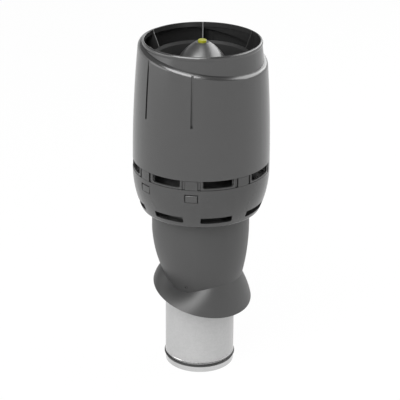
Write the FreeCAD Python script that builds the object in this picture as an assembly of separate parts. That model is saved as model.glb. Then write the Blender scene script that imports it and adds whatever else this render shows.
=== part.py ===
import FreeCAD, Part
import math
import os
from FreeCAD import Vector

# Roof ventilation pipe: an exhaust duct in an insulated casing, under a hood that blows upward.
# Millimetres. Z is up, the origin is on the axis at the duct's lower end,
# and +X is the side where the roof falls away.

# Fits between pieces
seat_gap = 0.3
tongue_gap = 1.1
screw_reach = 2.0

# Exhaust duct and the spigot pressed into its lower end
duct_radius = 80.0
duct_wall = 1.0
duct_low = 27.0
duct_top_gap = 8.0
spigot_wall = 1.0
spigot_overlap = 33.0
spigot_nose = 1.6
stop_bead_height = 4.5
stop_bead_rise = 0.9
groove_low = 13.5
groove_width = 7.0
groove_depth = 2.4
seal_lip_radius = 82.6
seal_lip_height = 2.0

# Outer casing: a barrel that narrows downward and shifts toward the low side
casing_radius = 111.5
casing_wall = 3.0
casing_top_gap = 68.0
barrel_straight_low = 348.0
barrel_arc_radius = 350.0
barrel_narrow_height = 115.0
barrel_low_shift = 7.5
barrel_steps = 4
barrel_foot_low = 200.0
barrel_foot_slope = 0.20
collar_side_z = 203.5
collar_front_rise = 0.20
collar_back_rise = 0.30

# Skirt at the foot of the casing, cut off by the plane of the roof
skirt_wall = 3.0
skirt_slope = 0.30
skirt_edge_z = 188.0
skirt_edge_shift = 6.6
skirt_half_length = 109.6
skirt_half_width = 125.0
skirt_bulge = 1.9
skirt_lift = 1.6
crease_front_z = 231.0
crease_side_z = 207.5
crease_back_z = 242.0
crease_front_power = 1.6
crease_back_power = 3.0
curve_points = 16
fixing_hole_radius = 2.4
fixing_hole_angle = 85.0
fixing_hole_z = 223.0

# Insulation and the rings that centre the duct
insulation_low = 268.0
insulation_split = 0.6
ring_thickness = 6.0
ring_rib_height = 14.0
ring_rib_wall = 2.5
top_ring_thickness = 4.0
top_ring_overhang = 3.0
duct_seal_height = 9.0
duct_seal_width = 6.0

# Lower bowl of the hood
bowl_wall = 3.0
bowl_rim_radius = 154.3
bowl_belly_z = 488.0
bowl_foot_share = 0.53
bowl_foot_z = 398.0
bowl_foot_turn = 10.0
bowl_lip_z = 394.5
bowl_lip_height = 3.0
bowl_inner_steps = 3
bowl_floor_z = 403.5
bowl_collar_wall = 2.8
bowl_collar_top = 436.0
bowl_top = 491.0
window_count = 8
drain_half_angle = 14.4
drain_low = 406.0
drain_high = 421.0
drain_corner = 3.0

# Window band between the bowl and the shell
band_top = 512.4
band_wall = 2.5
band_setback = 2.6
frame_setback = 0.8
frame_half_angle = 14.9
window_half_angle = 13.2
window_low = 495.0
window_corner = 4.0
pillar_half_angle = 5.3

# Snap tongues of the shell and the clip windows that catch them
clip_angles = (67.5, 112.5, -67.5, -112.5)
clip_window_width = 30.0
clip_window_low = 461.0
clip_window_high = 480.5
tongue_width = 25.0
tongue_wall = 2.5
tongue_low = 459.0
tongue_bridge = 10.0
catch_gap = 1.0
catch_chamfer = 3.0

# Upper shell of the hood
shell_wall = 2.5
shell_low = 512.7
shell_middle_z = 647.0
shell_middle_taper = 3.6
shell_high_rise = 8.0
shell_high_taper = 14.8
shoulder_slope = 0.18
shoulder_drop = 24.0
shoulder_radius = 11.0
shoulder_inner_chamfer = 5.0
slit_width = 5.3
slit_low = 633.0
slit_floor_wall = 2.0
slit_floor_step = 2.5
neck_low_taper = 17.3
neck_height = 52.0
neck_top_taper = 23.1
neck_wall = 3.2
rim_z = 787.0
rim_edge = 1.4

# Air guide: a sleeve round the jet, held by blades that hang on the rim
sleeve_radius = 106.5
sleeve_wall = 2.0
sleeve_height = 123.0
sleeve_sink = 36.0
sleeve_flare_radius = 109.4
sleeve_flare_height = 6.0
blade_count = 6
blade_thickness = 2.6
blade_slope = 0.444
blade_arm_height = 20.0
blade_root_rise = 40.0
hook_thickness = 1.4
hook_reach = 2.6
hub_radius = 12.0
hub_wall = 3.5

# Rain bell over the end of the duct, and the bolt that holds it
bell_sink = 3.0
bell_crown_drop = 3.5
bell_height = 124.0
bell_base_radius = 90.5
bell_wall = 2.2
bell_crown_wall = 3.0
bell_shoulder_drop = 44.0
bell_inner_steps = 5
bolt_radius = 3.0
bolt_hole_gap = 0.25
bolt_head_width = 10.0
bolt_head_height = 4.0
bolt_grip = 22.0
washer_radius = 7.0
washer_thickness = 1.2
cap_radius = 9.7
cap_height = 5.2
cap_edge = 1.0
cap_roof = 1.4

# Screws that fix the bowl's collar to the casing
collar_screw_count = 4
collar_screw_z = 424.0
collar_screw_radius = 2.1
collar_screw_head_radius = 4.2
collar_screw_head_height = 2.4
collar_screw_angle = 45.0

# Sizes that follow from the ones above
axis_up = Vector(0, 0, 1)
origin = Vector(0, 0, 0)
shoulder_z = rim_z - shoulder_drop
shell_high_z = rim_z + shell_high_rise
neck_low_z = rim_z - neck_height
bell_apex = rim_z - bell_sink
bell_top = bell_apex - bell_crown_drop
bell_shoulder = bell_apex - bell_shoulder_drop
bell_low = bell_apex - bell_height
blade_root_z = bell_low + blade_root_rise
blade_arm_low = bell_low - blade_arm_height
duct_top = blade_arm_low - duct_top_gap
sleeve_top = rim_z - sleeve_sink
sleeve_low = sleeve_top - sleeve_height
casing_top = sleeve_low - casing_top_gap
duct_bore = duct_radius - duct_wall
bowl_collar_bore = casing_radius + seat_gap
bowl_collar_radius = bowl_collar_bore + bowl_collar_wall
bowl_low = bowl_lip_z - bowl_lip_height
bowl_foot_radius = bowl_collar_radius + bowl_foot_share * (bowl_rim_radius - bowl_collar_radius)
bowl_belly_drop = bowl_rim_radius - bowl_foot_radius
bowl_belly_height = bowl_belly_z - bowl_foot_z
bowl_belly_radius = (bowl_belly_drop ** 2 + bowl_belly_height ** 2) / (2 * bowl_belly_drop)
band_radius = bowl_rim_radius - band_setback
band_bore = band_radius - band_wall
tongue_radius = band_bore - tongue_gap
shell_foot_radius = bowl_rim_radius
shell_middle_radius = shell_foot_radius - shell_middle_taper
shell_high_radius = shell_foot_radius - shell_high_taper
neck_low_radius = shell_foot_radius - neck_low_taper
neck_top_radius = shell_foot_radius - neck_top_taper
blade_top_radius = neck_top_radius - neck_wall - seat_gap
hub_top = bell_top - bell_crown_wall - seat_gap
far = 400.0


def at_angle(shape, degrees):
    turned = shape.copy()
    turned.rotate(origin, axis_up, degrees)
    return turned


def pattern(shape, count, first=0.0):
    return [at_angle(shape, first + step * 360.0 / count) for step in range(count)]


def joined(shapes):
    return shapes[0].fuse(shapes[1:])


def segment(start, end):
    return Part.LineSegment(Vector(start[0], 0, start[1]), Vector(end[0], 0, end[1])).toShape()


def arc(start, middle, end):
    points = [Vector(point[0], 0, point[1]) for point in (start, middle, end)]
    return Part.Arc(*points).toShape()


def turned_solid(edges):
    face = Part.Face(Part.Wire(edges))
    return face.revolve(origin, axis_up, 360)


def chain(points):
    return [segment(a, b) for a, b in zip(points, points[1:])]


def turned_polygon(points):
    return turned_solid(chain(list(points) + [points[0]]))


def tube(inner, outer, low, high):
    return turned_polygon([(inner, low), (outer, low), (outer, high), (inner, high)])


def disc(radius, low, high):
    return Part.makeCylinder(radius, high - low, Vector(0, 0, low))


def turned_sector(points, half_angle):
    edges = chain(list(points) + [points[0]])
    wedge = Part.Face(Part.Wire(edges)).revolve(origin, axis_up, 2 * half_angle)
    return at_angle(wedge, -half_angle)


def sector(inner, outer, low, high, half_angle):
    return turned_sector([(inner, low), (outer, low), (outer, high), (inner, high)], half_angle)


def radial_prism(outline, inner, outer):
    corners = [Vector(inner, y, z) for y, z in outline]
    face = Part.Face(Part.makePolygon(corners + [corners[0]]))
    return face.extrude(Vector(outer - inner, 0, 0))


def plate(outline, thickness):
    corners = [Vector(x, -thickness / 2, z) for x, z in outline]
    face = Part.Face(Part.makePolygon(corners + [corners[0]]))
    return face.extrude(Vector(0, thickness, 0))


def above_plane(height, slope):
    outline = [(-far, height + slope * far), (far, height - slope * far), (far, 3 * far), (-far, 3 * far)]
    return plate(outline, 2 * far)


# Casing

def barrel_depth(z):
    return min(max(barrel_straight_low - z, 0.0), barrel_narrow_height)


def barrel_radius(z):
    depth = barrel_depth(z)
    foot_drop = max(barrel_straight_low - barrel_narrow_height - z, 0.0)
    arc_radius = math.sqrt(barrel_arc_radius ** 2 - depth ** 2)
    return casing_radius - barrel_arc_radius + arc_radius - barrel_foot_slope * foot_drop


def barrel_shift(z):
    return barrel_low_shift * (barrel_depth(z) / barrel_narrow_height) ** 2


def barrel_solid(inset):
    narrow_end = barrel_straight_low - barrel_narrow_height
    step = barrel_narrow_height / barrel_steps
    heights = [barrel_foot_low] + [narrow_end + step * index for index in range(barrel_steps + 1)]
    circles = []
    for z in heights:
        centre = Vector(barrel_shift(z), 0, z)
        circles.append(Part.Wire(Part.makeCircle(barrel_radius(z) - inset, centre, axis_up)))
    ruled = inset > casing_wall
    body = Part.makeLoft(circles, True, ruled)
    top = disc(casing_radius - inset, barrel_straight_low, casing_top)
    return body.fuse(top)


def crease_height(angle):
    toward_low_side = math.cos(angle) > 0
    end_z = crease_front_z if toward_low_side else crease_back_z
    power = crease_front_power if toward_low_side else crease_back_power
    turn = math.pi / 2 * abs(math.cos(angle))
    return crease_side_z + (end_z - crease_side_z) * math.sin(turn) ** power


def skirt_edge_height(x):
    return skirt_edge_z - skirt_slope * x


def skirt_edge_point(angle, inset):
    x = skirt_edge_shift + (skirt_half_length - inset) * math.cos(angle)
    y = (skirt_half_width - inset) * math.sin(angle)
    return Vector(x, y, skirt_edge_height(x))


def crease_point(angle, inset, drop):
    z = crease_height(angle)
    radius = barrel_radius(z) - casing_wall / 2 - inset
    return Vector(barrel_shift(z) + radius * math.cos(angle), radius * math.sin(angle), z - drop)


def skirt_middle_point(angle, inset, drop):
    middle = (skirt_edge_point(angle, inset) + crease_point(angle, inset, drop)) * 0.5
    bulge = Vector(skirt_bulge * math.cos(angle), skirt_bulge * math.sin(angle), skirt_lift)
    return middle + bulge


def closed_curve(point_at):
    points = [point_at(2 * math.pi * index / curve_points) for index in range(curve_points)]
    curve = Part.BSplineCurve()
    curve.interpolate(points, PeriodicFlag=True)
    return Part.Wire(curve.toShape())


def skirt_surface(inset, drop):
    edge = closed_curve(lambda angle: skirt_edge_point(angle, inset))
    middle = closed_curve(lambda angle: skirt_middle_point(angle, inset, drop))
    crease = closed_curve(lambda angle: crease_point(angle, 0.0, drop))
    return edge, crease, Part.makeLoft([edge, middle, crease], False)


def skirt_solid():
    outer_edge, outer_crease, outer = skirt_surface(0.0, 0.0)
    inner_edge, inner_crease, inner = skirt_surface(skirt_wall, skirt_wall)
    foot = Part.makeRuledSurface(outer_edge, inner_edge)
    head = Part.makeRuledSurface(outer_crease, inner_crease)
    shell = Part.Shell(outer.Faces + inner.Faces + foot.Faces + head.Faces)
    shell.sewShape()
    body = Part.Solid(shell)
    body.fixTolerance(1e-4)
    return body


def fixing_drill(degrees):
    turn = math.radians(degrees)
    outward = Vector(math.cos(turn), math.sin(turn), 0)
    radius = barrel_radius(fixing_hole_z) - casing_wall / 2
    middle = Vector(barrel_shift(fixing_hole_z), 0, fixing_hole_z) + outward * radius
    square_to_wall = (outward - axis_up * barrel_foot_slope).normalize()
    start = middle - square_to_wall * 2 * casing_wall
    return Part.makeCylinder(fixing_hole_radius, 4 * casing_wall, start, square_to_wall)


def make_outer_casing():
    barrel = barrel_solid(0.0).cut(barrel_solid(casing_wall))
    barrel = barrel.common(above_plane(collar_side_z, -collar_front_rise))
    barrel = barrel.common(above_plane(collar_side_z, collar_back_rise))
    body = barrel.fuse(skirt_solid())
    drills = [fixing_drill(fixing_hole_angle), fixing_drill(-fixing_hole_angle)]
    drills += pattern(collar_screw_hole(collar_screw_radius + bolt_hole_gap), collar_screw_count,
                      collar_screw_angle)
    return body.cut(drills)


# Duct and spigot

def make_inner_duct():
    return tube(duct_bore, duct_radius, duct_low, duct_top)


def make_spigot_coupler():
    skin = duct_radius - spigot_wall
    groove = duct_radius - groove_depth
    groove_high = groove_low + groove_width
    bead_low = duct_low - stop_bead_height
    bead_middle = duct_low - stop_bead_height / 2
    shoulder = duct_low - seat_gap
    inner_sleeve = duct_bore - seat_gap
    top = duct_low + spigot_overlap
    outside = [
        (duct_radius - spigot_nose, 0),
        (duct_radius, spigot_nose),
        (duct_radius, groove_low),
        (groove, groove_low),
        (groove, groove_high),
        (duct_radius, groove_high),
        (duct_radius, bead_low),
        (duct_radius + stop_bead_rise, bead_middle),
        (duct_radius, shoulder),
        (inner_sleeve, shoulder),
        (inner_sleeve, top),
    ]
    inside = [
        (inner_sleeve - spigot_wall, top),
        (inner_sleeve - spigot_wall, groove_high + spigot_wall),
        (groove - spigot_wall, groove_high + spigot_wall),
        (groove - spigot_wall, groove_low - spigot_wall),
        (skin, groove_low - spigot_wall),
        (skin, spigot_nose),
        (skin - spigot_nose, spigot_nose),
        (skin - spigot_nose, 0),
    ]
    return turned_polygon(outside + inside)


def make_spigot_seal():
    bottom = groove_low + seat_gap
    top = groove_low + groove_width - seat_gap
    seat = duct_radius - groove_depth + seat_gap
    lip_high = top - seat_gap
    return turned_polygon([
        (seat, bottom),
        (duct_radius + seat_gap, bottom),
        (seal_lip_radius, lip_high - seal_lip_height),
        (seal_lip_radius, lip_high),
        (duct_radius + seat_gap, top),
        (seat, top),
    ])


# Insulation and rings

def casing_inside(low, high):
    return barrel_solid(casing_wall + seat_gap).common(disc(far, low, high))


def duct_clearance():
    return disc(duct_radius + seat_gap, 0, rim_z)


def insulation_half(side):
    high = casing_top - ring_rib_height - seat_gap
    block = casing_inside(insulation_low, high).cut(duct_clearance())
    box = Part.makeBox(2 * far, far, far * 2, Vector(-far, insulation_split / 2, 0))
    return block.common(at_angle(box, 0 if side > 0 else 180))


def make_lower_centering_ring():
    high = insulation_low - seat_gap
    low = high - ring_thickness
    plate_ring = casing_inside(low, high)
    rib = disc(duct_radius + seat_gap + ring_rib_wall, low - ring_rib_height, high)
    return plate_ring.fuse(rib).cut(duct_clearance())


def make_upper_centering_ring():
    bore = duct_radius + seat_gap
    plug = casing_radius - casing_wall - seat_gap
    low = casing_top + seat_gap
    high = low + top_ring_thickness
    foot = casing_top - ring_rib_height
    return turned_polygon([
        (bore, foot),
        (bore + ring_rib_wall, foot),
        (bore + ring_rib_wall, low),
        (plug - ring_rib_wall, low),
        (plug - ring_rib_wall, foot),
        (plug, foot),
        (plug, low),
        (casing_radius + top_ring_overhang, low),
        (casing_radius + top_ring_overhang, high),
        (bore, high),
    ])


def make_duct_collar_seal():
    bore = duct_radius + seat_gap
    low = casing_top + top_ring_thickness + 2 * seat_gap
    return turned_polygon([
        (bore, low),
        (bore + duct_seal_width, low),
        (bore + duct_seal_width / 3, low + duct_seal_height),
        (bore, low + duct_seal_height),
    ])


# Hood bowl

def belly_point(z, inset):
    rise = math.sqrt((bowl_belly_radius - inset) ** 2 - (bowl_belly_z - z) ** 2)
    return bowl_rim_radius - bowl_belly_radius + rise, z


def belly_heights(steps, low):
    return [bowl_belly_z - (bowl_belly_z - low) * step / steps for step in range(steps + 1)]


def foot_curve(end):
    lean = math.asin(bowl_belly_height / bowl_belly_radius)
    control_radius = bowl_foot_radius - bowl_foot_turn * math.sin(lean)
    control_z = bowl_foot_z - bowl_foot_turn * math.cos(lean)
    curve = Part.BezierCurve()
    curve.setPoles([
        Vector(end[0], 0, end[1]),
        Vector(control_radius, 0, control_z),
        Vector(bowl_foot_radius, 0, bowl_foot_z),
    ])
    return curve.toShape()


def bowl_body():
    lip = (bowl_collar_radius, bowl_lip_z)
    rim = (bowl_rim_radius, bowl_top)
    belly = [belly_point(z, 0.0) for z in belly_heights(2, bowl_foot_z)]
    inside = [(bowl_rim_radius - bowl_wall, bowl_top)]
    inside += [belly_point(z, bowl_wall) for z in belly_heights(bowl_inner_steps, bowl_floor_z)]
    inside += [
        (bowl_collar_radius, bowl_floor_z),
        (bowl_collar_radius, bowl_collar_top),
        (bowl_collar_bore, bowl_collar_top),
        (bowl_collar_bore, bowl_low),
        (bowl_collar_radius, bowl_low),
        lip,
    ]
    outside = [foot_curve(lip), arc(*reversed(belly)), segment(belly[0], rim)]
    return turned_solid(outside + chain([rim] + inside))


def opening_outline(radius, half_angle, low, high, corner):
    half = radius * math.sin(math.radians(half_angle))
    return [
        (-half, low + corner),
        (-half + corner, low),
        (half - corner, low),
        (half, low + corner),
        (half, high),
        (-half, high),
    ]


def window():
    past = band_top + bowl_wall
    outline = opening_outline(bowl_rim_radius, window_half_angle, window_low, past, window_corner)
    return radial_prism(outline, tongue_radius - tongue_wall, bowl_rim_radius + bowl_wall)


def drain_slot():
    face_radius = belly_point(drain_high, 0.0)[0]
    outline = opening_outline(face_radius, drain_half_angle, drain_low, drain_high, drain_corner)
    return radial_prism(outline, bowl_collar_radius + bowl_wall, bowl_rim_radius)


def clip_window():
    half = clip_window_width / 2
    corners = [(-half, clip_window_low), (half, clip_window_low),
               (half, clip_window_high), (-half, clip_window_high)]
    return radial_prism(corners, tongue_radius - tongue_wall, bowl_rim_radius + bowl_wall)


def collar_screw_hole(radius):
    start = casing_radius - casing_wall - screw_reach
    end = bowl_collar_radius + screw_reach
    return Part.makeCylinder(radius, end - start, Vector(start, 0, collar_screw_z), Vector(1, 0, 0))


def make_hood_bowl():
    half_pitch = 180.0 / window_count
    band = tube(band_bore, band_radius, bowl_belly_z, band_top)
    band_face = band_radius - band_wall / 2
    frame = sector(band_face, bowl_rim_radius - frame_setback, bowl_belly_z, band_top, frame_half_angle)
    pillar = sector(band_face, bowl_rim_radius, bowl_belly_z, band_top, pillar_half_angle)
    added = [band] + pattern(frame, window_count) + pattern(pillar, window_count, half_pitch)
    cuts = pattern(window(), window_count) + pattern(drain_slot(), window_count)
    cuts += [at_angle(clip_window(), angle) for angle in clip_angles]
    cuts += pattern(collar_screw_hole(collar_screw_radius + seat_gap), collar_screw_count,
                    collar_screw_angle)
    return bowl_body().fuse(added).cut(cuts)


# Hood shell

def shell_body(inset, roof_drop, low):
    foot = (shell_foot_radius - inset, shell_low)
    middle = (shell_middle_radius - inset, shell_middle_z)
    high = (shell_high_radius - inset, shell_high_z)
    start = (foot[0], low)
    edges = [
        segment((0, low), start),
        arc(foot, middle, high),
        segment(high, (0, shell_high_z)),
        segment((0, shell_high_z), (0, low)),
    ]
    if low < shell_low:
        edges.insert(1, segment(start, foot))
    body = turned_solid(edges).cut(above_plane(shoulder_z - roof_drop, shoulder_slope))
    closed_edges = [edge for edge in body.Edges if edge.Closed and edge.CenterOfMass.z > shell_middle_z]
    brim = max(closed_edges, key=lambda edge: edge.Length)
    if inset > 0:
        return body.makeChamfer(shoulder_inner_chamfer, [brim])
    return body.makeFillet(shoulder_radius, [brim])


def neck_outline_radius(z):
    share = (z - neck_low_z) / (rim_z - neck_low_z)
    return neck_low_radius + (neck_top_radius - neck_low_radius) * share


def neck_bore(clearance):
    low = neck_low_z - shoulder_radius * 2
    inset = neck_wall + clearance
    past = rim_z + neck_wall
    return turned_polygon([
        (0, low),
        (neck_outline_radius(low) - inset, low),
        (neck_outline_radius(past) - inset, past),
        (0, past),
    ])


def neck_body():
    top = rim_z - rim_edge
    outer = neck_outline_radius(top)
    inner = outer - neck_wall
    return turned_polygon([
        (0, neck_low_z),
        (neck_low_radius, neck_low_z),
        (outer, top),
        (outer - rim_edge, rim_z),
        (inner + rim_edge, rim_z),
        (inner, top),
        (0, top),
    ])


def shell_inside(clearance):
    roof_drop = shell_wall + clearance
    body = shell_body(shell_wall + clearance, roof_drop, shell_low - shell_wall)
    return body.fuse(neck_bore(clearance))


def tongue():
    half_angle = math.degrees(math.asin(tongue_width / 2 / tongue_radius))
    inner = tongue_radius - tongue_wall
    blade = sector(inner, tongue_radius, tongue_low, shell_low + tongue_bridge, half_angle)
    bridge_outer = shell_foot_radius - shell_wall / 2
    bridge = sector(inner, bridge_outer, shell_low, shell_low + tongue_bridge, half_angle)
    low = clip_window_low + catch_gap
    high = clip_window_high - catch_gap
    face = belly_point(clip_window_low, 0.0)[0] + seat_gap
    catch = turned_sector([
        (inner, low),
        (face, low),
        (face, high - catch_chamfer),
        (face - catch_chamfer, high),
        (inner, high),
    ], half_angle)
    return joined([blade, bridge, catch])


def slit_block(angle, inner, outer, rim):
    edge_x = shell_middle_radius * math.cos(math.radians(angle))
    high = shoulder_z - shoulder_slope * edge_x + rim
    low = slit_low - rim
    half = slit_width / 2 + rim
    outline = [(-half, low), (half, low), (half, high), (-half, high)]
    return at_angle(radial_prism(outline, inner, outer), angle)


def hook_notch():
    half = blade_thickness / 2 + seat_gap
    low = rim_z - hook_thickness - seat_gap
    high = rim_z + hook_thickness
    outline = [(-half, low), (half, low), (half, high), (-half, high)]
    return radial_prism(outline, blade_top_radius - hook_thickness, neck_top_radius + hook_thickness)


def make_hood_shell():
    outside = shell_body(0.0, 0.0, shell_low)
    body = outside.fuse(neck_body()).cut(shell_inside(0.0))
    floor = shell_high_radius + slit_floor_step
    back = floor - slit_floor_wall
    past = shell_foot_radius + shell_wall
    boxes = [slit_block(angle, back, past, slit_floor_wall).common(outside) for angle in clip_angles]
    slits = [slit_block(angle, floor, past, 0.0) for angle in clip_angles]
    tongues = [at_angle(tongue(), angle) for angle in clip_angles]
    return body.fuse(boxes + tongues).cut(slits + pattern(hook_notch(), blade_count))


# Air guide

def bell_point(z, outset, drop):
    apex = bell_apex - drop
    base = bell_base_radius + outset
    return base * math.sqrt((apex - z) / (apex - bell_low)), z


def bell_outside(outset, drop):
    crown = bell_top - drop
    heights = [bell_low, (bell_low + bell_shoulder) / 2, bell_shoulder, (bell_shoulder + crown) / 2, crown]
    points = [bell_point(z, outset, drop) for z in heights]
    sides = [arc(*points[:3]), arc(*points[2:])]
    return turned_solid(sides + chain([points[-1], (0, crown), (0, bell_low), points[0]]))


def bell_inside():
    crown = bell_top - bell_crown_wall
    shares = [1 - (1 - step / bell_inner_steps) ** 2 for step in range(bell_inner_steps + 1)]
    heights = [bell_low + (crown - bell_low) * share for share in shares]
    side = [bell_point(z, -bell_wall, bell_crown_wall) for z in heights]
    return turned_polygon(side + [(0, crown), (0, bell_low)])


def make_sleeve():
    inner = sleeve_radius - sleeve_wall
    flare_low = sleeve_top - sleeve_flare_height
    return turned_polygon([
        (inner, sleeve_low),
        (sleeve_radius, sleeve_low),
        (sleeve_radius, flare_low),
        (sleeve_flare_radius, sleeve_top),
        (sleeve_flare_radius - sleeve_wall, sleeve_top),
        (inner, flare_low),
    ])


def make_blades():
    arm_top = bell_low - seat_gap
    arm_radius = blade_top_radius - (rim_z - arm_top) * blade_slope
    hub_inside = hub_radius - hub_wall / 2
    blade = plate([
        (hub_inside, blade_arm_low),
        (sleeve_radius, blade_arm_low),
        (shell_foot_radius, blade_root_z),
        (shell_foot_radius, rim_z),
        (blade_top_radius, rim_z),
        (arm_radius, arm_top),
        (hub_inside, arm_top),
    ], blade_thickness)
    blades = joined(pattern(blade, blade_count)).common(shell_inside(seat_gap))
    return blades.cut(bell_outside(seat_gap, -seat_gap))


def make_hook():
    seat = rim_z - hook_thickness
    root = blade_top_radius - hook_reach
    return plate([
        (root, rim_z - 2 * hook_reach),
        (blade_top_radius, rim_z - 2 * hook_reach),
        (blade_top_radius, seat),
        (blade_top_radius + hook_reach, seat),
        (blade_top_radius + hook_reach - hook_thickness, rim_z),
        (blade_top_radius - hook_thickness, rim_z),
    ], blade_thickness)


def make_hub():
    shoulder = hub_top - bolt_grip
    wide = hub_radius - hub_wall
    narrow = bolt_radius + bolt_hole_gap
    return turned_polygon([
        (wide, blade_arm_low),
        (hub_radius, blade_arm_low),
        (hub_radius, hub_top),
        (narrow, hub_top),
        (narrow, shoulder),
        (wide, shoulder),
    ])


def make_air_guide():
    hooks = pattern(make_hook(), blade_count)
    return joined([make_sleeve(), make_blades(), make_hub()] + hooks)


# Rain bell and its bolt

def make_rain_bell():
    hole = disc(bolt_radius + bolt_hole_gap, bell_low, bell_apex)
    return bell_outside(0.0, 0.0).cut([bell_inside(), hole])


def make_bolt_washer():
    high = hub_top - bolt_grip
    return tube(bolt_radius + bolt_hole_gap, washer_radius, high - washer_thickness, high)


def make_bell_bolt():
    seat = hub_top - bolt_grip - washer_thickness
    corner = bolt_head_width / math.sqrt(3)
    corners = [Vector(corner * math.cos(math.pi / 3 * k), corner * math.sin(math.pi / 3 * k), seat)
               for k in range(7)]
    head = Part.Face(Part.makePolygon(corners)).extrude(Vector(0, 0, -bolt_head_height))
    end = bell_top + cap_height - cap_roof - seat_gap
    return head.fuse(disc(bolt_radius, seat, end))


def make_bell_cap():
    bore = bolt_radius + bolt_hole_gap
    top = bell_top + cap_height
    roof = top - cap_roof
    return turned_polygon([
        (bore, bell_top),
        (cap_radius, bell_top),
        (cap_radius, top - cap_edge),
        (cap_radius - cap_edge, top),
        (0, top),
        (0, roof),
        (bore, roof),
    ])


# Collar screws

def make_collar_screws():
    shank_start = casing_radius - casing_wall
    shank = Part.makeCylinder(collar_screw_radius, bowl_collar_radius - shank_start,
                              Vector(shank_start, 0, collar_screw_z), Vector(1, 0, 0))
    head = Part.makeCylinder(collar_screw_head_radius, collar_screw_head_height,
                             Vector(bowl_collar_radius + seat_gap, 0, collar_screw_z), Vector(1, 0, 0))
    neck = Part.makeCylinder(collar_screw_radius, seat_gap * 2,
                             Vector(bowl_collar_radius, 0, collar_screw_z), Vector(1, 0, 0))
    screw = joined([shank, neck, head])
    return Part.makeCompound(pattern(screw, collar_screw_count, collar_screw_angle))


nodes = {
    "inner_duct": make_inner_duct,
    "spigot_coupler": make_spigot_coupler,
    "spigot_seal": make_spigot_seal,
    "outer_casing": make_outer_casing,
    "insulation_left": lambda: insulation_half(1),
    "insulation_right": lambda: insulation_half(-1),
    "lower_centering_ring": make_lower_centering_ring,
    "upper_centering_ring": make_upper_centering_ring,
    "duct_collar_seal": make_duct_collar_seal,
    "hood_bowl": make_hood_bowl,
    "collar_screws": make_collar_screws,
    "hood_shell": make_hood_shell,
    "air_guide": make_air_guide,
    "rain_bell": make_rain_bell,
    "bell_bolt": make_bell_bolt,
    "bolt_washer": make_bolt_washer,
    "bell_cap": make_bell_cap,
}

os.makedirs("parts", exist_ok=True)
for name, make in nodes.items():
    make().exportStep(os.path.join("parts", name + ".step"))
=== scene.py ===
import math

import bpy
from mathutils import Matrix, Vector


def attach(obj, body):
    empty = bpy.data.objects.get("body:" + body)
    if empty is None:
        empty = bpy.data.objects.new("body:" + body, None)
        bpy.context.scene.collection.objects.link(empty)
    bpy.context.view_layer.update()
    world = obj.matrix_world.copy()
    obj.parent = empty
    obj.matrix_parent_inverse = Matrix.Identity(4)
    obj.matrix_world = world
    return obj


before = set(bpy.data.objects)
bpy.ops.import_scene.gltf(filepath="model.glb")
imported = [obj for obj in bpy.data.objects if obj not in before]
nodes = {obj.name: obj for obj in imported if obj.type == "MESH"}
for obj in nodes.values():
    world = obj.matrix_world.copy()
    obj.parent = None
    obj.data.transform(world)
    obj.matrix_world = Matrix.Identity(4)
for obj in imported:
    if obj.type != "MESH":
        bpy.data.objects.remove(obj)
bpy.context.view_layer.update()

# Roof ventilation pipe on a pale studio floor. Metres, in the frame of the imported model.

# Camera
camera_distance = 3.2767
camera_height = 1.8098
camera_pitch = math.radians(23.24)
camera_turn = math.radians(30.5)
camera_roll = math.radians(0.53)
camera_side_step = -0.00068
picture_pixels = 400
focal_pixels = 1562.7
sensor_width = 36.0
half_pixel = 0.5 / picture_pixels
view_depth = 100.0

# Studio
floor_size = 24.0
floor_whiteness = 0.97
backdrop_height = 5.0
backdrop_sides = 96
room_light = 0.24
softbox_distance = 3.0
softbox_aim_height = 0.45
softboxes = (
    # name, bearing and height in degrees, width and length, glow
    ("left_softbox", -30, 44, (2.6, 2.2), 6.375),
    ("top_softbox", -20, 76, (1.2, 1.0), 2.72),
    ("right_softbox", 108, 39, (3.0, 1.8), 3.74),
    ("back_softbox", 150, 24, (1.8, 1.2), 2.89),
    ("fill_softbox", -76, 12, (2.0, 1.4), 1.445),
)

# Window band of the bowl; angles in degrees from a pillar's middle
window_count = 8
band_low = 0.4910
band_high = 0.5124
band_radius = 0.1543
frame_half_angle = 14.9
pillar_edge_angle = 17.2
# half width of the painted shade lines in the window band joints
joint_half_width = 0.0008

# Blades of the air guide
blade_count = 6
centimetres = 100.0
# width of the painted highlight along the blade edges
blade_edge_fade = (0.115, 0.128)
sleeve_edge_fade = (0.1095, 0.1100)
# the blade whose edge is left dark above its foot, as painted shade
shaded_blade_angle = 60.0
shaded_blade_spread = 0.3
shaded_blade_foot = (0.700, 0.706)

# Rounded lip along the neck's rim
rim_top = 0.787
lip_middle_radius = 0.1295
lip_half_width = 0.0036
lip_stretch = 1.6
lip_low = rim_top - lip_half_width * lip_stretch
lip_profile_points = 40
lip_steps = 192
lip_smooth_angle = math.radians(40.0)
neck_bore_radius = 0.1279
merge_distance = 0.00001


# Shader maths

class Value:
    """A number over the surface, held as a node's output socket."""

    def __init__(self, maker, socket):
        self.maker = maker
        self.socket = socket

    def math(self, operation, other=0.0, flipped=False):
        first, second = (other, self) if flipped else (self, other)
        return self.maker.node("ShaderNodeMath", {"operation": operation}, {0: first, 1: second})

    def __add__(self, other):
        return self.math("ADD", other)

    def __sub__(self, other):
        return self.math("SUBTRACT", other)

    def __rsub__(self, other):
        return self.math("SUBTRACT", other, True)

    def __mul__(self, other):
        return self.math("MULTIPLY", other)

    __radd__ = __add__
    __rmul__ = __mul__


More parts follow.
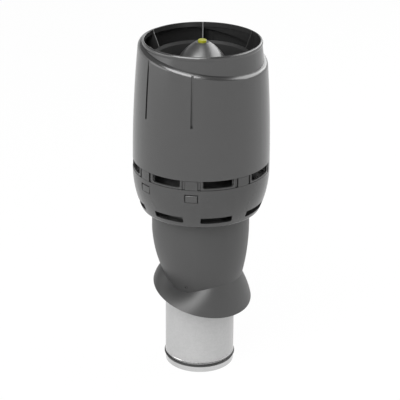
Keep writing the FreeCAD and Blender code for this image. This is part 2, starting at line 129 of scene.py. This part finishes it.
class Finish:
    """One material and the nodes that make its surface."""

    def __init__(self, name):
        self.material = bpy.data.materials.new(name)
        self.material.use_nodes = True
        self.tree = self.material.node_tree
        self.tree.nodes.clear()

    def node(self, kind, settings=None, inputs=None, output=0):
        made = self.tree.nodes.new(kind)
        for name, value in (settings or {}).items():
            if name == "stops":
                self.set_stops(made.color_ramp, value)
            else:
                setattr(made, name, value)
        for key, value in (inputs or {}).items():
            if isinstance(value, Value):
                self.tree.links.new(value.socket, made.inputs[key])
            else:
                made.inputs[key].default_value = value
        return Value(self, made.outputs[output])

    def set_stops(self, ramp, stops):
        while len(ramp.elements) < len(stops):
            ramp.elements.new(1.0)
        for element, (position, level) in zip(ramp.elements, stops):
            element.position = position
            element.color = shade(level)

    def spot(self):
        return self.node("ShaderNodeTexCoord", output="Object")

    def place(self, stretch=(1.0, 1.0, 1.0)):
        return self.node("ShaderNodeMapping", {}, {"Vector": self.spot(), "Scale": stretch})

    def axes(self):
        spot = self.spot()
        return [
            self.node("ShaderNodeSeparateXYZ", {}, {"Vector": spot}, axis) for axis in range(3)
        ]

    def noise(self, scale, detail=3.0, stretch=(1.0, 1.0, 1.0)):
        inputs = {"Vector": self.place(stretch), "Scale": scale, "Detail": detail}
        return self.node("ShaderNodeTexNoise", {}, inputs)

    def cells(self, scale, output="Distance"):
        inputs = {"Vector": self.place(), "Scale": scale}
        return self.node("ShaderNodeTexVoronoi", {}, inputs, output)

    def ramp(self, value, stops):
        return self.node("ShaderNodeValToRGB", {"stops": stops}, {"Fac": value})

    def rise(self, value, start, end):
        """Nothing up to the start, one from the end on."""
        return self.ramp(value, [(start, 0.0), (end, 1.0)])

    def fall(self, value, start, end):
        """One up to the start, nothing from the end on."""
        return self.ramp(value, [(start, 1.0), (end, 0.0)])

    def line(self, value, middle, half_width):
        """One along the middle, falling to nothing at both sides."""
        off = (value - middle).math("ABSOLUTE") * (0.5 / half_width)
        return self.fall(off, 0.40, 0.60)

    def blend(self, share, first, second):
        settings = {"data_type": "RGBA", "clamp_factor": True}
        return self.node("ShaderNodeMix", settings, {0: share, 6: first, 7: second}, 2)

    def bump(self, height, strength, depth):
        inputs = {"Height": height, "Strength": strength, "Distance": depth}
        return self.node("ShaderNodeBump", {}, inputs)

    def surface(self, **inputs):
        named = {key.replace("_", " "): value for key, value in inputs.items()}
        return self.close(self.node("ShaderNodeBsdfPrincipled", {}, named))

    def close(self, shader):
        end = self.tree.nodes.new("ShaderNodeOutputMaterial")
        self.tree.links.new(shader.socket, end.inputs["Surface"])
        return self.material


def shade(level):
    return (level, level, level, 1.0)


def around(middle, *swings):
    """A middle number that swings with values between nothing and one."""
    for value, width in swings:
        middle = middle + (value - 0.5) * width
    return middle


# Finishes

def window_band_joint_shade(finish):
    """Painted shade in the joints under, over and between the windows, where the gaps lie dark.
    """
    across, along, height = finish.axes()
    aside = along.math("ARCTAN2", across).math("PINGPONG", math.pi / window_count)
    level_joints = [
        finish.line(height, middle, joint_half_width) for middle in (band_low, band_high)
    ]
    upright_joints = [
        finish.line(aside, math.radians(angle), joint_half_width / band_radius)
        for angle in (frame_half_angle, pillar_edge_angle)
    ]
    inside = finish.line(height, (band_low + band_high) / 2, (band_high - band_low) / 2)
    upright = (upright_joints[0] + upright_joints[1]) * inside
    return level_joints[0] + level_joints[1] + upright


def moulded_plastic(name, level, roughness, refraction, joints=False):
    finish = Finish(name)
    drift = finish.noise(scale=7.0, detail=2.0)
    speckle = finish.noise(scale=900.0, detail=2.0)
    flow = finish.noise(scale=40.0, stretch=(1.0, 1.0, 0.12))
    tone = finish.rise(drift * 0.5 + speckle * 0.3 + flow * 0.2, 0.35, 0.65)
    colour = finish.blend(tone, shade(level * 0.93), shade(level * 1.07))
    # the darkened window band joints are painted shade
    if joints:
        colour = finish.blend(window_band_joint_shade(finish), colour, shade(level * 0.15))
    grain = finish.noise(scale=1500.0)
    pits = finish.cells(scale=620.0)
    skin = finish.bump(grain * 0.7 + pits * 0.3, strength=0.35, depth=0.00004)
    polish = around(roughness, (drift, 0.08), (grain, 0.08))
    return finish.surface(Base_Color=colour, Roughness=polish, Normal=skin, IOR=refraction)


def guide_plastic(name):
    """Dark moulding whose blades have pale edges, a painted highlight; one of them has it only
    at its foot, the rest of that edge left dark as painted shade.
    """
    finish = Finish(name)
    drift = finish.noise(scale=30.0)
    across, along, height = finish.axes()
    turn = along.math("ARCTAN2", across)
    reach = (across * across + along * along).math("SQRT")
    wave = (turn * (blade_count / 2)).math("SINE").math("ABSOLUTE")
    aside = reach * wave * (2.0 / blade_count)
    # pale edges along the blades outside the sleeve: a painted highlight
    edge_highlight = finish.fall(aside * centimetres, *blade_edge_fade)
    outside = finish.rise(reach, *sleeve_edge_fade)
    # one blade's edge kept dark above its foot: painted shade
    shaded_blade = finish.line(turn, math.radians(shaded_blade_angle), shaded_blade_spread)
    blade_top_shade = shaded_blade * finish.rise(height, *shaded_blade_foot)
    dark = finish.blend(drift, shade(0.016), shade(0.024))
    colour = finish.blend(edge_highlight * outside * (1.0 - blade_top_shade), dark, shade(0.11))
    grain = finish.noise(scale=1500.0)
    skin = finish.bump(grain, strength=0.35, depth=0.00004)
    polish = around(0.60, (grain, 0.12))
    return finish.surface(Base_Color=colour, Roughness=polish, Normal=skin, IOR=1.35)


def galvanised_sheet(name):
    finish = Finish(name)
    spangle = finish.cells(scale=260.0, output="Color")
    patch = finish.node("ShaderNodeSeparateColor", {}, {"Color": spangle})
    rolling = finish.noise(scale=40.0, stretch=(1.0, 1.0, 14.0))
    haze = finish.noise(scale=9.0, detail=2.0)
    tone = finish.rise(patch * 0.25 + rolling * 0.30 + haze * 0.45, 0.30, 0.70)
    colour = finish.blend(tone, shade(0.42), shade(0.47))
    dents = finish.bump(rolling * 0.8 + haze * 0.2, strength=0.10, depth=0.0001)
    polish = around(0.38, (patch, 0.03), (rolling, 0.06))
    return finish.surface(Base_Color=colour, Metallic=0.45, Roughness=polish, Normal=dents)


def rolled_sheet(name):
    finish = Finish(name)
    lines = finish.noise(scale=90.0, detail=4.0, stretch=(1.0, 1.0, 30.0))
    smears = finish.noise(scale=30.0)
    colour = finish.blend(smears, shade(0.50), shade(0.64))
    drawn = finish.bump(lines, strength=0.15, depth=0.0001)
    polish = around(0.20, (lines, 0.08), (smears, 0.05))
    return finish.surface(Base_Color=colour, Metallic=1.0, Roughness=polish, Normal=drawn)


def seal_rubber(name):
    finish = Finish(name)
    bloom = finish.noise(scale=160.0, detail=4.0)
    colour = finish.blend(bloom, shade(0.010), shade(0.026))
    skin = finish.bump(finish.noise(scale=2200.0, detail=2.0), strength=0.3, depth=0.00005)
    return finish.surface(Base_Color=colour, Roughness=around(0.45, (bloom, 0.2)), Normal=skin)


def satin_bell(name):
    finish = Finish(name)
    haze = finish.noise(scale=26.0)
    turned = finish.noise(scale=240.0, stretch=(0.25, 0.25, 1.0))
    colour = finish.blend(haze, shade(0.108), shade(0.146))
    skin = finish.bump(turned, strength=0.12, depth=0.00008)
    polish = around(0.34, (haze, 0.10))
    return finish.surface(Base_Color=colour, Metallic=0.80, Roughness=polish, Normal=skin)


def yellow_cap(name):
    finish = Finish(name)
    drift = finish.noise(scale=120.0)
    colour = finish.blend(drift, (0.215, 0.22, 0.005, 1.0), (0.275, 0.275, 0.011, 1.0))
    skin = finish.bump(finish.noise(scale=1600.0, detail=2.0), strength=0.2, depth=0.00005)
    return finish.surface(Base_Color=colour, Roughness=around(0.34, (drift, 0.1)), Normal=skin)


def bead_foam(name):
    finish = Finish(name)
    beads = finish.cells(scale=240.0)
    drift = finish.noise(scale=20.0, detail=2.0)
    tone = finish.fall(beads, 0.15, 0.55) * 0.7 + drift * 0.3
    colour = finish.blend(tone, shade(0.62), shade(0.80))
    skin = finish.bump(1.0 - beads, strength=0.6, depth=0.0009)
    return finish.surface(Base_Color=colour, Roughness=0.75, Normal=skin)


def zinc_plate(name):
    finish = Finish(name)
    haze = finish.noise(scale=300.0)
    colour = finish.blend(haze, shade(0.42), shade(0.56))
    skin = finish.bump(haze, strength=0.2, depth=0.00005)
    polish = around(0.34, (haze, 0.12))
    return finish.surface(Base_Color=colour, Metallic=1.0, Roughness=polish, Normal=skin)


finishes = {
    "duct_steel": galvanised_sheet("galvanised_duct"),
    "spigot_steel": rolled_sheet("bright_spigot"),
    "seal_rubber": seal_rubber("black_rubber"),
    "casing_plastic": moulded_plastic("casing_grey", 0.0396, 0.47, 1.58),
    "bowl_plastic": moulded_plastic("bowl_grey", 0.0352, 0.25, 1.60, joints=True),
    "shell_plastic": moulded_plastic("shell_grey", 0.0220, 0.23, 1.80),
    "guide_plastic": guide_plastic("guide_grey"),
    "insulation_foam": bead_foam("bead_foam"),
    "ring_plastic": moulded_plastic("ring_black", 0.0350, 0.50, 1.80),
    "bell_grey": satin_bell("satin_bell"),
    "cap_yellow": yellow_cap("yellow_cap"),
    "fastener_steel": zinc_plate("zinc_plate"),
}

node_slots = {
    "inner_duct": "duct_steel",
    "spigot_coupler": "spigot_steel",
    "spigot_seal": "seal_rubber",
    "outer_casing": "casing_plastic",
    "insulation_left": "insulation_foam",
    "insulation_right": "insulation_foam",
    "lower_centering_ring": "ring_plastic",
    "upper_centering_ring": "ring_plastic",
    "duct_collar_seal": "seal_rubber",
    "hood_bowl": "bowl_plastic",
    "collar_screws": "fastener_steel",
    "hood_shell": "shell_plastic",
    "air_guide": "guide_plastic",
    "rain_bell": "bell_grey",
    "bell_bolt": "fastener_steel",
    "bolt_washer": "fastener_steel",
    "bell_cap": "cap_yellow",
}

for node_name, slot_name in node_slots.items():
    for material_slot in nodes[node_name].material_slots:
        material_slot.material = finishes[slot_name]


# Rounded lip along the neck's rim: an oval profile, cut at the neck's bore and spun

def select_whole_mesh():
    bpy.ops.mesh.select_all(action="SELECT")


def add_rim_lip():
    profile_middle = (lip_middle_radius, 0.0, lip_low)
    bpy.ops.object.select_all(action="DESELECT")
    bpy.ops.mesh.primitive_circle_add(
        vertices=lip_profile_points,
        radius=lip_half_width,
        fill_type="NGON",
        location=profile_middle,
        rotation=(math.pi / 2, 0.0, 0.0),
    )
    lip = bpy.context.object
    lip.name = "rim_lip"
    bpy.ops.object.transform_apply(location=True, rotation=True)
    bpy.ops.object.mode_set(mode="EDIT")
    select_whole_mesh()
    bpy.ops.transform.resize(value=(1.0, 1.0, lip_stretch), center_override=profile_middle)
    bpy.ops.mesh.bisect(
        plane_co=(neck_bore_radius, 0.0, 0.0),
        plane_no=(1.0, 0.0, 0.0),
        clear_inner=True,
    )
    select_whole_mesh()
    bpy.ops.mesh.delete(type="ONLY_FACE")
    select_whole_mesh()
    bpy.ops.mesh.spin(
        steps=lip_steps,
        angle=2 * math.pi,
        center=(0.0, 0.0, 0.0),
        axis=(0.0, 0.0, 1.0),
    )
    select_whole_mesh()
    bpy.ops.mesh.remove_doubles(threshold=merge_distance)
    bpy.ops.mesh.normals_make_consistent(inside=False)
    bpy.ops.object.mode_set(mode="OBJECT")
    bpy.ops.object.shade_smooth_by_angle(angle=lip_smooth_angle)
    lip.data.materials.append(finishes["shell_plastic"])
    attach(lip, "root")


# Studio

def pale_floor():
    """Matt paper in its own light, and white where the camera or a mirror image sees it."""
    finish = Finish("pale_floor")
    paper = finish.blend(finish.noise(scale=3.0), shade(0.84), shade(0.88))
    matt = finish.node("ShaderNodeBsdfDiffuse", {}, {"Color": paper})
    white = finish.node("ShaderNodeEmission", {}, {"Color": shade(1.0), "Strength": 1.0})
    camera_ray, glossy_ray, glass_ray = [
        finish.node("ShaderNodeLightPath", output=name)
        for name in ("Is Camera Ray", "Is Glossy Ray", "Is Transmission Ray")
    ]
    share = (camera_ray + glossy_ray + glass_ray) * floor_whiteness
    return finish.close(finish.node("ShaderNodeMixShader", {}, {0: share, 1: matt, 2: white}))


def add_floor():
    finish = pale_floor()
    bpy.ops.mesh.primitive_plane_add(size=floor_size, location=(0, 0, 0))
    floor = bpy.context.object
    floor.name = "floor"
    floor.data.materials.append(finish)
    bpy.ops.mesh.primitive_cylinder_add(
        vertices=backdrop_sides,
        radius=floor_size / 2,
        depth=backdrop_height,
        end_fill_type="NOTHING",
        location=(0.0, 0.0, backdrop_height / 2),
    )
    backdrop = bpy.context.object
    backdrop.name = "backdrop"
    backdrop.data.materials.append(finish)


def add_world():
    world = bpy.data.worlds.new("studio_room")
    bpy.context.scene.world = world
    world.use_nodes = True
    tree = world.node_tree
    tree.nodes.clear()
    room = tree.nodes.new("ShaderNodeBackground")
    room.inputs["Color"].default_value = shade(1.0)
    room.inputs["Strength"].default_value = room_light
    end = tree.nodes.new("ShaderNodeOutputWorld")
    tree.links.new(room.outputs[0], end.inputs["Surface"])


def add_softbox(name, bearing, height, size, glow):
    """Bearing is measured round the object from the camera, positive to the right."""
    turn = camera_turn - math.pi / 2 + math.radians(bearing)
    lift = math.radians(height)
    target = Vector((0.0, 0.0, softbox_aim_height))
    spot = target + softbox_distance * Vector((
        math.cos(turn) * math.cos(lift),
        math.sin(turn) * math.cos(lift),
        math.sin(lift),
    ))
    lamp = bpy.data.lights.new(name, "AREA")
    lamp.shape = "RECTANGLE"
    lamp.size, lamp.size_y = size
    lamp.energy = glow * math.pi * size[0] * size[1]
    softbox = bpy.data.objects.new(name, lamp)
    softbox.location = spot
    softbox.rotation_euler = (target - spot).to_track_quat("-Z", "Y").to_euler()
    bpy.context.collection.objects.link(softbox)


def add_camera():
    data = bpy.data.cameras.new("camera")
    data.sensor_width = sensor_width
    data.lens = focal_pixels / picture_pixels * sensor_width
    data.shift_x = -half_pixel
    data.shift_y = half_pixel
    data.clip_end = view_depth
    camera = bpy.data.objects.new("camera", data)
    stand = Matrix.Rotation(camera_turn, 4, "Z")
    place = Matrix.Translation((camera_side_step, -camera_distance, camera_height))
    tilt = Matrix.Rotation(math.pi / 2 - camera_pitch, 4, "X")
    roll = Matrix.Rotation(camera_roll, 4, "Z")
    camera.matrix_world = stand @ place @ tilt @ roll
    bpy.context.collection.objects.link(camera)
    bpy.context.scene.camera = camera


add_rim_lip()
add_camera()
add_floor()
add_world()
for softbox_settings in softboxes:
    add_softbox(*softbox_settings)
bpy.context.scene.view_settings.view_transform = "Standard"
